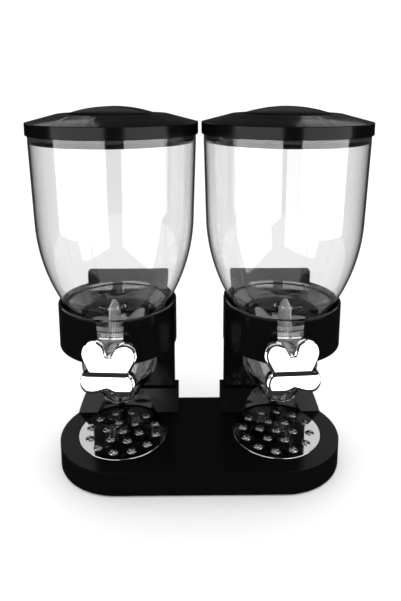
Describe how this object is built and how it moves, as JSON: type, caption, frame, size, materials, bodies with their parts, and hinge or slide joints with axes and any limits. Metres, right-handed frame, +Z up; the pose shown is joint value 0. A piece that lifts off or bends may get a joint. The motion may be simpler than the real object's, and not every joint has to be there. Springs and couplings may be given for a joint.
{
  "type": "cereal dispenser",
  "caption": "Countertop dry food dispenser with clear lift-off hoppers, knob-turned paddle wheels and drip plates on a black stand",
  "frame": {"origin": "On the floor under the feet, midway between the two hopper axes and in line with them front to back.", "axes": "+Z is up, +Y is the back with the columns, +X is the right-hand side seen from the knobs."},
  "size_m": [0.331, 0.164, 0.378],
  "materials": {
    "gloss_black": "glossy black moulded plastic",
    "matte_black": "plain black plastic cover",
    "clear_plastic": "clear moulded plastic",
    "clear_silicone": "clear soft silicone",
    "white_plastic": "white moulded plastic",
    "chrome": "bright chrome plating",
    "shaft_steel": "turned steel rod",
    "screw_steel": "zinc plated steel",
    "foot_rubber": "soft black rubber",
    "seal_rubber": "soft black rubber"
  },
  "bodies": {
    "stand": {"base_shell": "gloss_black", "base_cover": "matte_black", "base_screws": "screw_steel", "rubber_feet": "foot_rubber", "left_column": "gloss_black", "right_column": "gloss_black", "left_column_cover": "gloss_black", "right_column_cover": "gloss_black", "left_column_screws": "screw_steel", "right_column_screws": "screw_steel", "left_cover_screws": "screw_steel", "right_cover_screws": "screw_steel", "left_collar": "gloss_black", "right_collar": "gloss_black", "left_collar_screws": "screw_steel", "right_collar_screws": "screw_steel"},
    "left_plate": {"left_drip_plate": "chrome"},
    "left_dispenser": {"left_hopper": "clear_plastic", "left_funnel": "clear_plastic", "left_outlet": "clear_plastic", "left_shaft_bushing": "white_plastic"},
    "left_wheel": {"left_shaft": "shaft_steel", "left_wheel_core": "white_plastic", "left_wheel_vanes": "clear_silicone", "left_knob": "chrome"},
    "left_cap": {"left_lid": "gloss_black", "left_lid_seal": "seal_rubber"},
    "right_plate": {"right_drip_plate": "chrome"},
    "right_dispenser": {"right_hopper": "clear_plastic", "right_funnel": "clear_plastic", "right_outlet": "clear_plastic", "right_shaft_bushing": "white_plastic"},
    "right_wheel": {"right_shaft": "shaft_steel", "right_wheel_core": "white_plastic", "right_wheel_vanes": "clear_silicone", "right_knob": "chrome"},
    "right_cap": {"right_lid": "gloss_black", "right_lid_seal": "seal_rubber"}
  },
  "joints": [
    {"name": "left_plate_lift", "type": "slide", "parent": "stand", "child": "left_plate", "axis": [0, 0, 1], "range_m": [0, 0.02]},
    {"name": "left_hopper_lift", "type": "slide", "parent": "stand", "child": "left_dispenser", "axis": [0, 0, 1], "range_m": [0, 0.115]},
    {"name": "left_wheel_spin", "type": "hinge", "parent": "left_dispenser", "child": "left_wheel", "pos_m": [-0.0835, 0, 0.145], "axis": [0, 1, 0], "continuous": true},
    {"name": "left_lid_lift", "type": "slide", "parent": "left_dispenser", "child": "left_cap", "axis": [0, 0, 1], "range_m": [0, 0.03]},
    {"name": "right_plate_lift", "type": "slide", "parent": "stand", "child": "right_plate", "axis": [0, 0, 1], "range_m": [0, 0.02]},
    {"name": "right_hopper_lift", "type": "slide", "parent": "stand", "child": "right_dispenser", "axis": [0, 0, 1], "range_m": [0, 0.115]},
    {"name": "right_wheel_spin", "type": "hinge", "parent": "right_dispenser", "child": "right_wheel", "pos_m": [0.0835, 0, 0.145], "axis": [0, 1, 0], "continuous": true},
    {"name": "right_lid_lift", "type": "slide", "parent": "right_dispenser", "child": "right_cap", "axis": [0, 0, 1], "range_m": [0, 0.03]}
  ]
}
